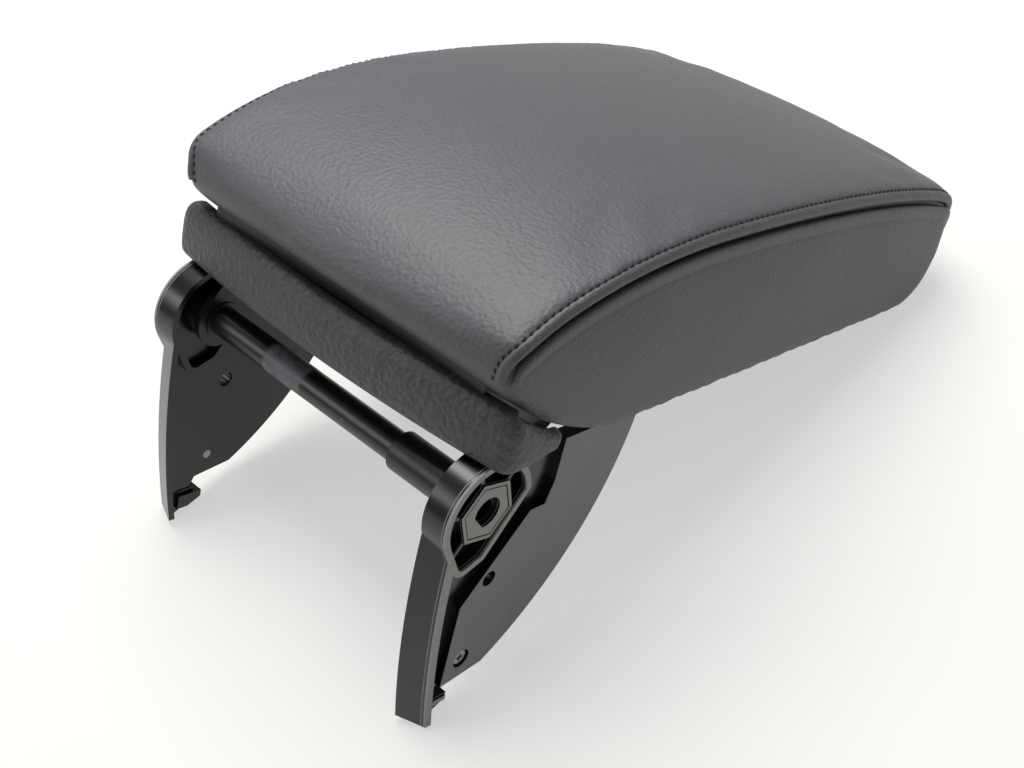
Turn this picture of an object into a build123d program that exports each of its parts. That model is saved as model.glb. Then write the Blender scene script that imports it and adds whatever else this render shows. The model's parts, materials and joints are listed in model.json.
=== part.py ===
from build123d import *
import math
import os

# Car centre-console armrest: a padded lid that hinges on a bracket of two moulded legs and a cross tube.
# It is drawn in the car's frame: hinge axis at the origin, +X to the right, +Y to the front of the lid,
# +Z up, lid level. The last section tips it on to its feet and the lid's front edge, as it stands on a floor.

# Hinge
TUBE_OD = 12.6
TUBE_WALL = 1.8
TUBE_END_FLAT = 5.0
FLAT_TURN = 45.0
SLEEVE_OD = 16.6
SLEEVE_LENGTH = 29.0
RUN_FIT = 0.05
SEAT_FIT = 0.1
BUSH_WALL = 1.8
BUSH_LENGTH = 4.4
AXIAL_PLAY = 0.4

# Legs
LEG_TUCK = 1.5
LEG_WIDTH = 12.0
LEG_WEB_INSET = 3.5
LEG_WEB = 3.0
HUB_R = 22.0
RING_WALL = 2.6
RING_CORNER = 3.0
HUB_LOBE = (-7.0, -19.7)
HUB_LOBE_R = 6.0
HUB_CHORD_TOP = (19.5, 1.0)
HUB_CHORD_END = (1.0, -26.0)
HEX_R = 12.4
HEX_WALL = 1.7
HEX_TURN = -8.0
HEX_INSET = 0.9
HEX_CHAMFER = 0.5
HUB_RIB = 1.5
HUB_BOSS_R = 10.0
HUB_BOSS_INSET = 0.6
FLANGE_T = 3.0
FLANGE_SLANT = 5.0
FLANGE_TOP = (-20.2, -4.0)
FLANGE_MID = (-18.2, -54.0)
FOOT_TIP = (-10.5, -100.5)
BLADE_RISE = 3.5
BLADE_TOP = 19.0
BLADE_REAR = 0.0
BLADE_TOP_REAR = 39.0
BLADE_TOP_FRONT = 82.5
BLADE_BULGE = (61.5, -41.0)
BLADE_TOE = (22.0, -81.0)
BLADE_BOTTOM = -84.0
BLADE_NOTCH_W = -10.0
BLADE_NOTCH_LENGTH = 8.0
BLADE_NOTCH_LEAN = 2.5
BLADE_STEP_W = -45.0
FIXING_HOLE = (13.3, -36.3)
FIXING_HOLE_R = 3.4
SCREW_HOLE = (8.7, -73.5)
SCREW_HOLE_R = 4.2
FOOT_RIB_W = -89.5
FOOT_RIB = 2.0
HOOK_REACH = 6.5
HOOK_BOTTOM = -97.0
HOOK_TOP = -90.5
HOOK_WIDTH = 7.0
EDGE_ROUND = 0.7

# Padded lid
LID_REAR = -18.0
LID_FRONT = 307.0
LID_PEAK = 100.0
LID_TOP = 98.0
LID_BOTTOM = 20.4
REAR_REACH = 120.0
REAR_DROP = 40.0
FRONT_REACH = 212.0
FRONT_DROP = 34.0
REAR_LIFT = 40.0
REAR_LIFT_LENGTH = 86.0
NOSE_R = 26.0
LID_HALF_REAR = 86.0
LID_TAPER = 5.0
LID_CORNER = 30.0
REAR_BOW = 5.0
FRONT_BOW = 4.0
CROWN = 5.0
SIDE_BULGE = 4.5
LID_STATIONS = 8
COVER_T = 2.0
SOFT_GAP = 0.3

# Lid shell and pan
SHELL_SIDE_PAD = 7.0
SHELL_REAR = -6.0
SHELL_FRONT = 280.0
SHELL_TOP = 62.0
SHELL_WALL = 2.5
SHELL_CORNER = 24.0
PAN_BOTTOM = 24.0
PAN_T = 3.0
POST_R = 4.5
POST_X = 60.0
POST_FIRST = 60.0
POST_LAST = 255.0
POST_ROWS = 3

# Hinge ears
EAR_T = 3.0
EAR_CLEAR = 1.0
EAR_R = 12.0
EAR_FRONT = 46.0
EAR_TAB_WIDTH = 19.0
EAR_TAB_REAR = 4.0
EAR_SCREW_SPACING = 24.0

# Rear trim bar
TRIM_OVERHANG = 6.5
TRIM_BOTTOM = 23.0
TRIM_TOP = 46.0
TRIM_REAR_SIDE = -8.0
TRIM_BOW = 6.5
TRIM_WRAP = 17.0
TRIM_TIP_TOP = 34.0
TRIM_CORNER = 12.0
TRIM_WALL = 2.5
TRIM_RIDGE_ROUND = 2.0
TRIM_BOSS_R = 4.0
TRIM_BOSS_X = 50.0
TRIM_BOSS_W = 34.0

# Screws
SCREW_R = 2.0
SCREW_HEAD_R = 3.7
SCREW_HEAD = 2.6
SCREW_HEAD_ROUND = 0.8
SCREW_LENGTH = 11.0
RECESS_WIDTH = 0.9
RECESS_DEPTH = 1.4
HOLE_FIT = 0.1

# Derived places
TUBE_R = TUBE_OD / 2
LID_HALF_FRONT = LID_HALF_REAR - LID_TAPER
SHELL_HALF = LID_HALF_FRONT - SHELL_SIDE_PAD
LEG_INNER_X = SHELL_HALF - LEG_TUCK
LEG_OUTER_X = LEG_INNER_X + LEG_WIDTH
TRIM_HALF = LEG_OUTER_X + TRIM_OVERHANG
WEB_IN = LEG_INNER_X + LEG_WEB_INSET
WEB_OUT = WEB_IN + LEG_WEB
BLADE_OUT = WEB_OUT + BLADE_RISE
SOCKET_OUT = LEG_OUTER_X - HEX_INSET
TUBE_END = (WEB_OUT + SOCKET_OUT) / 2
EAR_OUT = LEG_INNER_X - EAR_CLEAR
EAR_IN = EAR_OUT - EAR_T
BUSH_OUT = EAR_OUT + (BUSH_LENGTH - EAR_T) / 2
BUSH_IN = BUSH_OUT - BUSH_LENGTH
BUSH_R = TUBE_R + RUN_FIT + BUSH_WALL
SLEEVE_OUT = BUSH_IN - AXIAL_PLAY
PAN_TOP = PAN_BOTTOM + PAN_T
EAR_TAB_BOTTOM = PAN_BOTTOM - EAR_T


def across(sketch, x_from, x_to):
    """Prism of a side-view sketch (front, up) between two planes across the car."""
    return Plane.YZ.offset(x_from) * extrude(sketch, x_to - x_from)


def upright(sketch, w_from, w_to):
    """Prism of a plan sketch (right, front) between two heights."""
    return Pos(0, 0, w_from) * extrude(sketch, w_to - w_from)


def at_side(point, sketch):
    """A sketch moved to a point of the side view."""
    return Pos(point[0], point[1]) * sketch


def mirrored(solid):
    """The left-hand twin of a right-hand piece."""
    return mirror(solid, Plane.YZ)


def d_section(radius, flat):
    """Circle with one flat, turned to the lower rear."""
    keep = Pos(-flat, 0) * Rectangle(2 * radius, 2 * radius, align=(Align.MIN, Align.CENTER))
    return Rot(0, 0, FLAT_TURN) * (Circle(radius) & keep)


def screw(length):
    """Cross-recess screw along +Z: its head sits below the XY plane, its shank above."""
    head = Pos(0, 0, -SCREW_HEAD) * extrude(Circle(SCREW_HEAD_R), SCREW_HEAD)
    head = fillet(head.edges().group_by(Axis.Z)[0], SCREW_HEAD_ROUND)
    slot = Rectangle(SCREW_HEAD_R, RECESS_WIDTH) + Rectangle(RECESS_WIDTH, SCREW_HEAD_R)
    recess = Pos(0, 0, -SCREW_HEAD) * extrude(slot, RECESS_DEPTH)
    return head - recess + extrude(Circle(SCREW_R), length)


# Legs


def blade_sketch():
    """Raised blade: straight rear edge with a notch by the hub, front edge one long arc."""
    rear_notch = (BLADE_TOP_REAR - BLADE_NOTCH_LEAN, BLADE_NOTCH_W)
    notch_end = (rear_notch[0] - BLADE_NOTCH_LENGTH, BLADE_NOTCH_W)
    outline = Polyline(
        BLADE_TOE,
        (BLADE_REAR, BLADE_BOTTOM),
        (BLADE_REAR, BLADE_STEP_W),
        notch_end,
        rear_notch,
        (BLADE_TOP_REAR, 0),
        (BLADE_TOP_REAR, BLADE_TOP),
        (BLADE_TOP_FRONT, BLADE_TOP),
    )
    front = ThreePointArc((BLADE_TOP_FRONT, BLADE_TOP), BLADE_BULGE, BLADE_TOE)
    return make_face(outline + front)


def flange_line(shift):
    """Rear edge of the leg, one long arc from the hub's ledge to the foot's tip."""
    points = [(u + shift, w) for u, w in (FLANGE_TOP, FLANGE_MID, FOOT_TIP)]
    return ThreePointArc(*points)


def web_sketch():
    """Thin web: hub disc, the strip behind the blade and the blade's own area."""
    rear = flange_line(FLANGE_SLANT)
    strip = make_face(
        rear
        + Polyline(
            rear @ 1,
            (BLADE_REAR, HOOK_BOTTOM),
            (BLADE_REAR, HOOK_TOP),
            (BLADE_REAR + FLANGE_T, BLADE_BOTTOM),
            (BLADE_TOP_REAR, BLADE_NOTCH_W),
            (BLADE_TOP_REAR + FLANGE_T, BLADE_TOP),
            (0, BLADE_TOP),
            rear @ 0,
        )
    )
    return strip + Circle(HUB_R) + blade_sketch()


def hub_outline():
    """Side view of the hub: a disc drawn out to a lower lobe, cut by a straight side that faces the blade."""
    lobed = make_hull((Circle(HUB_R) + at_side(HUB_LOBE, Circle(HUB_LOBE_R))).edges())
    side = Line(HUB_CHORD_TOP, HUB_CHORD_END)
    spare = Plane(side @ 0, x_dir=side % 0) * Rectangle(
        4 * HUB_R, 2 * HUB_R, align=(Align.CENTER, Align.MIN)
    )
    outline = lobed - spare
    corners = outline.vertices().sort_by_distance(side @ 0.5)[:2]
    return fillet(corners, RING_CORNER)


def flange():
    """Rear flange: a band along the leg's rear edge, slanted in plan so that it faces outwards, up to the hub's ring."""
    rear = flange_line(0)
    front = flange_line(FLANGE_T)
    band = make_face(rear + front + Line(rear @ 0, front @ 0) + Line(rear @ 1, front @ 1))
    lean = Vector(LEG_WIDTH, FLANGE_SLANT, 0)
    slanted = extrude(Plane.YZ.offset(LEG_INNER_X) * band, lean.length, dir=lean)
    return slanted - across(offset(hub_outline(), -RING_WALL / 2), LEG_INNER_X, LEG_OUTER_X)


def hub():
    """Ring with a hexagonal socket, six ribs between them and a boss for the tube inside."""
    outline = hub_outline()
    ring = across(outline - offset(outline, -RING_WALL), LEG_INNER_X, LEG_OUTER_X)
    hexagon = RegularPolygon(HEX_R + HEX_WALL, 6, rotation=HEX_TURN)
    socket = across(hexagon, WEB_OUT, SOCKET_OUT)
    rib_from = HEX_R + HEX_WALL - HUB_RIB
    rib_to = HUB_R + HUB_LOBE_R
    rib = Pos((rib_from + rib_to) / 2, 0) * Rectangle(rib_to - rib_from, HUB_RIB)
    ribs = Sketch() + [Rot(0, 0, HEX_TURN + 60 * i) * rib for i in range(6)]
    ribs &= offset(outline, -RING_WALL / 2)
    boss = across(Circle(HUB_BOSS_R), LEG_INNER_X + HUB_BOSS_INSET, WEB_IN)
    return ring + socket + across(ribs, WEB_OUT, SOCKET_OUT - HUB_RIB / 2) + boss


def foot():
    """Cross rib and forward hook at the leg's lower end."""
    rear = FOOT_TIP[0] + FLANGE_SLANT
    rib = Rectangle(BLADE_REAR - rear + FLANGE_T, FOOT_RIB, align=(Align.MIN, Align.CENTER))
    hook = make_face(
        Polyline(
            (rear, HOOK_TOP),
            (rear, HOOK_BOTTOM),
            (BLADE_REAR, HOOK_BOTTOM),
            (HOOK_REACH, (HOOK_BOTTOM + HOOK_TOP) / 2),
            (HOOK_REACH, HOOK_TOP),
            close=True,
        )
    )
    hook_from = WEB_IN - (HOOK_WIDTH - LEG_WEB) / 2
    cross_rib = across(at_side((rear, FOOT_RIB_W), rib), LEG_INNER_X + FLANGE_T, LEG_OUTER_X - EDGE_ROUND)
    return cross_rib + across(hook, hook_from, hook_from + HOOK_WIDTH)


def leg():
    """Right leg, one moulding."""
    body = across(web_sketch(), WEB_IN, WEB_OUT)
    body += flange()
    body += across(blade_sketch(), WEB_OUT, BLADE_OUT)
    body += hub()
    body += foot()
    socket = RegularPolygon(HEX_R, 6, rotation=HEX_TURN)
    body -= across(socket, WEB_OUT, LEG_OUTER_X)
    body -= across(Circle(TUBE_R + SEAT_FIT), LEG_INNER_X, WEB_OUT)
    body -= across(at_side(FIXING_HOLE, Circle(FIXING_HOLE_R)), LEG_INNER_X, LEG_OUTER_X)
    body -= across(at_side(SCREW_HOLE, Circle(SCREW_HOLE_R)), WEB_OUT, LEG_OUTER_X)
    body -= across(at_side(SCREW_HOLE, Circle(SCREW_R + HOLE_FIT)), LEG_INNER_X, LEG_OUTER_X)
    return body


def hex_insert():
    """Hexagonal end piece in the hub's socket, with a D-shaped hole for the tube's end."""
    shape = RegularPolygon(HEX_R - SEAT_FIT, 6, rotation=HEX_TURN)
    shape -= d_section(TUBE_R + SEAT_FIT, TUBE_END_FLAT + SEAT_FIT)
    block = across(shape, WEB_OUT, SOCKET_OUT)
    outer_rim = block.faces().sort_by(Axis.X)[-1].outer_wire().edges()
    return chamfer(outer_rim, HEX_CHAMFER)


def leg_screw():
    """Fixing screw in the leg's lower hole, head on the web."""
    return Pos(WEB_OUT, *SCREW_HOLE) * Rot(0, -90, 0) * screw(LEG_WEB)


# Cross tube


def cross_tube():
    """Steel tube on the hinge axis, both ends flattened where they key into the hex inserts."""
    bore = Circle(TUBE_R - TUBE_WALL)
    middle = across(Circle(TUBE_R) - bore, -WEB_OUT, WEB_OUT)
    end = across(d_section(TUBE_R, TUBE_END_FLAT) - bore, WEB_OUT, TUBE_END)
    return middle + end + mirrored(end)


def friction_sleeve():
    """Collar on the tube beside the right ear, with a rounded inner end."""
    sleeve = across(
        Circle(SLEEVE_OD / 2) - Circle(TUBE_R + RUN_FIT),
        SLEEVE_OUT - SLEEVE_LENGTH,
        SLEEVE_OUT,
    )
    rim = sleeve.edges().group_by(Axis.X)[0].sort_by(SortBy.RADIUS)[-1]
    return fillet(rim, EDGE_ROUND)


# Hinge ears


def ear():
    """Right ear of the lid: a plate down to the tube and a tab bent inboard under the pan."""
    tab_side = Rectangle(EAR_FRONT - EAR_TAB_REAR, EAR_T, align=(Align.MIN, Align.MIN))
    tab_side = at_side((EAR_TAB_REAR, EAR_TAB_BOTTOM), tab_side)
    plate = make_hull(Circle(EAR_R).edges() + tab_side.edges())
    solid = across(plate, EAR_IN, EAR_OUT)
    solid += across(tab_side, EAR_IN - EAR_TAB_WIDTH, EAR_OUT)
    solid -= across(Circle(BUSH_R + RUN_FIT), EAR_IN, EAR_OUT)
    for place in ear_screw_places():
        solid -= Pos(*place) * extrude(Circle(SCREW_R + HOLE_FIT), -EAR_T)
    return solid


def ear_screw_places():
    """Screw axes of the right ear's tab, on the pan's lower face."""
    middle = (EAR_TAB_REAR + EAR_FRONT) / 2
    x = EAR_IN - EAR_TAB_WIDTH / 2
    return [(x, middle + s * EAR_SCREW_SPACING / 2, PAN_BOTTOM) for s in (-1, 1)]


def ear_bush():
    """Plastic bush between the right ear and the tube."""
    return across(Circle(BUSH_R) - Circle(TUBE_R + RUN_FIT), BUSH_IN, BUSH_OUT)


# Lid shell, pan and their screws


def shell_plan(inset):
    """Plan of the shell: straight sides, rounded front corners."""
    half = SHELL_HALF - inset
    length = SHELL_FRONT - SHELL_REAR - 2 * inset
    plan = Pos(0, SHELL_REAR + inset) * Rectangle(2 * half, length, align=(Align.CENTER, Align.MIN))
    return fillet(plan.vertices().group_by(Axis.Y)[-1], SHELL_CORNER - inset)


def post_places():
    """Axes of the shell's screw posts, in rows along both sides."""
    pitch = (POST_LAST - POST_FIRST) / (POST_ROWS - 1)
    return [(s * POST_X, POST_FIRST + i * pitch) for s in (-1, 1) for i in range(POST_ROWS)]


def trim_screw_places():
    """Axes of the trim's screws through the shell's rear wall."""
    return [(i * TRIM_BOSS_X, SHELL_REAR + SHELL_WALL, TRIM_BOSS_W) for i in (-1, 0, 1)]


def lid_shell():
    """Inverted tray under the foam, with screw posts that stand on the pan."""
    solid = upright(shell_plan(0), PAN_TOP, SHELL_TOP)
    solid -= upright(shell_plan(SHELL_WALL), PAN_TOP, SHELL_TOP - SHELL_WALL)
    post = Circle(POST_R) - Circle(SCREW_R + HOLE_FIT)
    for x, u in post_places():
        solid += upright(Pos(x, u) * post, PAN_TOP, SHELL_TOP - SHELL_WALL)
    for place in trim_screw_places():
        solid -= Pos(*place) * Rot(90, 0, 0) * extrude(Circle(SCREW_R + HOLE_FIT), SHELL_WALL)
    return solid


def lid_pan():
    """Flat pan that closes the shell, with bosses for the ears' screws."""
    solid = upright(shell_plan(0), PAN_BOTTOM, PAN_TOP)
    hole = Circle(SCREW_R + HOLE_FIT)
    head = Circle(SCREW_HEAD_R + HOLE_FIT)
    for x, u in post_places():
        solid -= upright(Pos(x, u) * hole, PAN_BOTTOM, PAN_TOP)
        solid -= upright(Pos(x, u) * head, PAN_BOTTOM, PAN_BOTTOM + PAN_T / 2)
    for x, u, w in ear_screw_places():
        for side in (-1, 1):
            boss = upright(Pos(side * x, u) * Circle(POST_R), PAN_TOP, w + SCREW_LENGTH)
            solid += boss
            solid -= upright(Pos(side * x, u) * hole, PAN_BOTTOM, w + SCREW_LENGTH - EAR_T / 2)
    return solid


def pan_screws():
    """Screws from below through the pan into the shell's posts."""
    seat = PAN_BOTTOM + PAN_T / 2
    return [Pos(x, u, seat) * screw(SCREW_LENGTH) for x, u in post_places()]


def ear_screws():
    """Screws from below through the ears' tabs into the pan's bosses."""
    length = SCREW_LENGTH + EAR_T / 2
    seats = [(s * x, u, w - EAR_T) for x, u, w in ear_screw_places() for s in (-1, 1)]
    return [Pos(*seat) * screw(length) for seat in seats]


def trim_screws():
    """Screws from inside the shell's rear wall into the trim's bosses."""
    return [Pos(*place) * Rot(90, 0, 0) * screw(trim_screw_length()) for place in trim_screw_places()]


# Rear trim bar


def trim_screw_length():
    """Length that ends inside the trim's rear wall."""
    return SHELL_REAR + SHELL_WALL - TRIM_REAR_SIDE


def trim_plan(inset):
    """Plan of the trim: bowed rear face, rounded corners, sides wrapped forwards."""
    half = TRIM_HALF - inset
    rear = TRIM_REAR_SIDE + inset
    plan = make_face(
        ThreePointArc((-half, rear), (0, rear - TRIM_BOW), (half, rear))
        + Polyline((half, rear), (half, TRIM_WRAP), (-half, TRIM_WRAP), (-half, rear))
    )
    return fillet(plan.vertices().group_by(Axis.Y)[0], TRIM_CORNER - inset)


def trim_side(inset, bottom):
    """Side view of the trim: level ridge, then a slope down to the tip of the wrap."""
    rear = TRIM_REAR_SIDE - TRIM_BOW - TRIM_WALL
    return make_face(
        Polyline(
            (rear, bottom),
            (rear, TRIM_TOP - inset),
            (TRIM_REAR_SIDE, TRIM_TOP - inset),
            (TRIM_WRAP, TRIM_TIP_TOP - inset),
            (TRIM_WRAP, bottom),
            close=True,
        )
    )


def rear_trim():
    """Hollow trim bar behind the lid, screwed to the shell's rear wall by three bosses."""
    outer = upright(trim_plan(0), TRIM_BOTTOM, TRIM_TOP)
    outer = fillet(outer.edges().group_by(Axis.Z)[-1], TRIM_RIDGE_ROUND)
    outer &= across(trim_side(0, TRIM_BOTTOM), -TRIM_HALF, TRIM_HALF)
    inner = upright(trim_plan(TRIM_WALL), TRIM_BOTTOM, TRIM_TOP)
    inner &= across(trim_side(TRIM_WALL, TRIM_BOTTOM), -TRIM_HALF, TRIM_HALF)
    solid = outer - inner
    boss = Circle(TRIM_BOSS_R) - Circle(SCREW_R + HOLE_FIT)
    for x, _, w in trim_screw_places():
        bow = TRIM_BOW * (1 - (x / TRIM_HALF) ** 2)
        reach = SHELL_REAR - TRIM_REAR_SIDE + bow - TRIM_WALL / 2
        solid += Pos(x, SHELL_REAR, w) * Rot(90, 0, 0) * extrude(boss, reach)
    room = Pos(0, SHELL_REAR) * Rectangle(
        2 * (SHELL_HALF + SEAT_FIT), 2 * TRIM_HALF, align=(Align.CENTER, Align.MIN)
    )
    return solid - upright(room, TRIM_BOTTOM, TRIM_TOP)


# Padded cover and foam


def quarter(t):
    """Drop of a quarter ellipse, 0 at its crest and 1 at its end."""
    t = min(max(t, 0.0), 1.0)
    return 1 - math.sqrt(1 - t * t)


def lid_section(u, inset, floor):
    """Cross-section of the padded lid: level floor, bulging sides, crowned top."""
    top = LID_TOP - REAR_DROP * quarter((LID_PEAK - u) / REAR_REACH)
    top -= FRONT_DROP * quarter((u - LID_PEAK) / FRONT_REACH)
    rear_part = max(LID_REAR + REAR_LIFT_LENGTH - u, 0) / REAR_LIFT_LENGTH
    bottom = LID_BOTTOM + REAR_LIFT * rear_part**2
    share = (u - LID_REAR) / (LID_FRONT - LID_REAR)
    half = LID_HALF_REAR + (LID_HALF_FRONT - LID_HALF_REAR) * share - inset
    fullness = (top - bottom) / (LID_TOP - LID_BOTTOM)
    top -= inset
    bottom += floor
    belly = half + SIDE_BULGE * fullness
    middle = (top + bottom) / 2
    outline = (
        Line((-half, bottom), (half, bottom))
        + ThreePointArc((half, bottom), (belly, middle), (half, top))
        + ThreePointArc((half, top), (0, top + CROWN * fullness), (-half, top))
        + ThreePointArc((-half, top), (-belly, middle), (-half, bottom))
    )
    return Plane.XZ.offset(-u) * make_face(outline)


def lid_plan(inset):
    """Plan of the padded lid: bowed ends, rounded front corners, sides clear of the bulge."""
    rear_half = LID_HALF_REAR + 2 * SIDE_BULGE - inset
    front_half = LID_HALF_FRONT + SIDE_BULGE / 2 - inset
    rear = LID_REAR + inset
    front = LID_FRONT - inset
    corners = [
        (-rear_half, rear + REAR_BOW),
        (rear_half, rear + REAR_BOW),
        (front_half, front - FRONT_BOW),
        (-front_half, front - FRONT_BOW),
    ]
    plan = make_face(
        ThreePointArc(corners[0], (0, rear), corners[1])
        + Line(corners[1], corners[2])
        + ThreePointArc(corners[2], (0, front), corners[3])
        + Line(corners[3], corners[0])
    )
    return fillet(plan.vertices().group_by(Axis.Y)[-1], LID_CORNER - inset)


def lid_nose(inset, floor):
    """Side view of the padded lid, open above and behind, with a rounded lower front edge."""
    low = Pos(LID_FRONT - inset, LID_BOTTOM + floor)
    block = low * Rectangle(2 * LID_FRONT, 2 * LID_TOP, align=(Align.MAX, Align.MIN))
    corner = block.vertices().sort_by(Axis.Y)[:2].sort_by(Axis.X)[-1]
    return fillet(corner, NOSE_R - inset)


def lid_form(inset, floor):
    """Padded lid as one body: lofted sections, trimmed to its plan and its rounded nose."""
    middle = (LID_REAR + LID_FRONT) / 2
    reach = (LID_FRONT - LID_REAR) / 2 - inset
    turns = [math.pi * i / (LID_STATIONS - 1) for i in range(LID_STATIONS)]
    body = loft([lid_section(middle - reach * math.cos(t), inset, floor) for t in turns])
    body &= upright(lid_plan(inset), LID_BOTTOM + floor, 2 * LID_TOP)
    half = LID_HALF_REAR + 2 * SIDE_BULGE
    return body & across(lid_nose(inset, floor), -half, half)


def shell_room(gap):
    """Space that the shell and pan take out of the padding."""
    return upright(offset(shell_plan(0), gap), 0, SHELL_TOP + gap)


def seam_plan(gap):
    """Plan of the top panel between the two side seams, widened by a gap."""
    rear_half = LID_HALF_REAR - COVER_T + gap
    front_half = LID_HALF_FRONT - COVER_T + gap
    ends = (LID_REAR - COVER_T, LID_FRONT + COVER_T)
    return make_face(
        Polyline(
            (-rear_half, ends[0]),
            (rear_half, ends[0]),
            (front_half, ends[1]),
            (-front_half, ends[1]),
            close=True,
        )
    )


def cover_panels():
    """Sewn cover: the top panel, which wraps both ends, and the two side panels."""
    skin = lid_form(0, 0) - lid_form(COVER_T, -COVER_T)
    top = skin & upright(seam_plan(0), 0, 2 * LID_TOP)
    sides = skin - upright(seam_plan(SOFT_GAP), 0, 2 * LID_TOP)
    left, right = sides.solids().sort_by(Axis.X)
    return top, left, right


def foam_pad():
    """Foam between the cover and the shell."""
    return lid_form(COVER_T + SOFT_GAP, COVER_T / 2) - shell_room(SOFT_GAP)


# Whole armrest

RIGHT_LEG = leg()
COVER_TOP, COVER_LEFT, COVER_RIGHT = cover_panels()

PIECES = {
    "leg_right": RIGHT_LEG,
    "leg_left": mirrored(RIGHT_LEG),
    "hex_insert_right": hex_insert(),
    "hex_insert_left": mirrored(hex_insert()),
    "leg_screws": [leg_screw(), mirrored(leg_screw())],
    "cross_tube": cross_tube(),
    "friction_sleeve": friction_sleeve(),
    "hinge_ear_right": ear(),
    "hinge_ear_left": mirrored(ear()),
    "ear_bush_right": ear_bush(),
    "ear_bush_left": mirrored(ear_bush()),
    "ear_screws": ear_screws(),
    "lid_shell": lid_shell(),
    "lid_pan": lid_pan(),
    "pan_screws": pan_screws(),
    "trim_screws": trim_screws(),
    "rear_trim": rear_trim(),
    "foam_pad": foam_pad(),
    "cover_top": COVER_TOP,
    "cover_side_left": COVER_LEFT,
    "cover_side_right": COVER_RIGHT,
}


def as_shape(piece):
    """One shape for a node: a solid, or a compound of like solids."""
    return Compound(piece) if isinstance(piece, list) else piece


# Resting pose: tipped about the hinge axis until the feet and the lid's front lower edge share the floor

TRIAL_TILTS = (22, 23)


def lip_over_feet(tilt):
    """Height of the lid's lowest point over the feet when the armrest is tipped by an angle."""
    lip, feet = [(Rot(-tilt, 0, 0) * piece).bounding_box().min.Z for piece in (COVER_TOP, RIGHT_LEG)]
    return lip - feet


LIP_HEIGHTS = [lip_over_feet(tilt) for tilt in TRIAL_TILTS]
TILT_SHARE = LIP_HEIGHTS[0] / (LIP_HEIGHTS[0] - LIP_HEIGHTS[1])
REST_TILT = TRIAL_TILTS[0] + TILT_SHARE * (TRIAL_TILTS[1] - TRIAL_TILTS[0])
TIPPED = {name: Rot(-REST_TILT, 0, 0) * as_shape(piece) for name, piece in PIECES.items()}
BOX = Compound([shape for shape in TIPPED.values()]).bounding_box()
TO_FLOOR = Pos(0, -(BOX.min.Y + BOX.max.Y) / 2, -BOX.min.Z)

os.makedirs("parts", exist_ok=True)
for node, shape in TIPPED.items():
    export_step(TO_FLOOR * shape, f"parts/{node}.step")
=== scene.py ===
import json
import math

import bmesh
import bpy
import numpy as np
from bpy.props import FloatProperty, FloatVectorProperty, IntProperty, PointerProperty
from mathutils import Matrix


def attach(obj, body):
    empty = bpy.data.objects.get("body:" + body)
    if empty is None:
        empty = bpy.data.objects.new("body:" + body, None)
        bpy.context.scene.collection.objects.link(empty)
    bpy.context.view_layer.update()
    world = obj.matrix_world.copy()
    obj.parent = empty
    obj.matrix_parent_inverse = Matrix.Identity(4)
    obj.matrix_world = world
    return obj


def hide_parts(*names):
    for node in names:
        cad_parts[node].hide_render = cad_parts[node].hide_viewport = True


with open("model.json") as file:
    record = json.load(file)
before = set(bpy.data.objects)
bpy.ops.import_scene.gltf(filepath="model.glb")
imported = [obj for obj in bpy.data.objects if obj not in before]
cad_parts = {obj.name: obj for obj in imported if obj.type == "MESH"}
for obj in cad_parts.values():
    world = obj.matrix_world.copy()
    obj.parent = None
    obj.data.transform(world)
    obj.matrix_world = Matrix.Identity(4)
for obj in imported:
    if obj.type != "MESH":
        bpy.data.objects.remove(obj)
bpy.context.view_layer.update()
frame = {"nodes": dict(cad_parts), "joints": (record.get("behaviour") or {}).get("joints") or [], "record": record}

bl_info = {
    "name": "Car Armrest",
    "version": (1, 0, 0),
    "blender": (4, 5, 0),
    "location": "View3D > Sidebar > Armrest",
    "description": "Dresses a hinged car armrest: sewn vinyl cushion, seams, stitches, finishes and stage",
    "category": "Object",
}

MM = 0.001
FLOOR_GAP = 0.4 * MM

# The armrest's own frame has its origin on the hinge axis, u to the lid's front and w up with the lid level.
# The fixing hole's place in it, in mm, and its place in the row give the resting tilt.
HINGE = np.array(frame["joints"][0]["pos_m"])
FIXING_HOLE_UW = (13.3, -36.3)
FIXING_HOLE = np.array(frame["record"]["mounts"][0]["pos_m"])
TILT = math.atan2(FIXING_HOLE_UW[1], FIXING_HOLE_UW[0]) - math.atan2(
    FIXING_HOLE[2] - HINGE[2], FIXING_HOLE[1] - HINGE[1]
)

# Photograph's camera, solved from points of the legs, the seams and the cushion's corners
PICTURE_WIDTH = 1024
CAMERA_FOCAL_PX = 1543.3
CAMERA_PLACE = (0.34952, -0.35936, 0.52118)
CAMERA_RIGHT = (0.7180, 0.6938, -0.0564)
CAMERA_DOWN = (0.4740, -0.5466, -0.6903)


def linear(code):
    """sRGB hex colour to linear RGB."""
    srgb = np.array([int(code[i : i + 2], 16) for i in (1, 3, 5)]) / 255
    return tuple(np.where(srgb <= 0.04045, srgb / 12.92, ((srgb + 0.055) / 1.055) ** 2.4))


def colour(name, code, what):
    """A colour property with an sRGB default."""
    return FloatVectorProperty(name=name, description=what, subtype="COLOR", default=linear(code), min=0, max=1)


def length(name, mm, what):
    """A length property whose default is given in millimetres."""
    return FloatProperty(name=name, description=what, unit="LENGTH", default=mm * MM)


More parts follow.
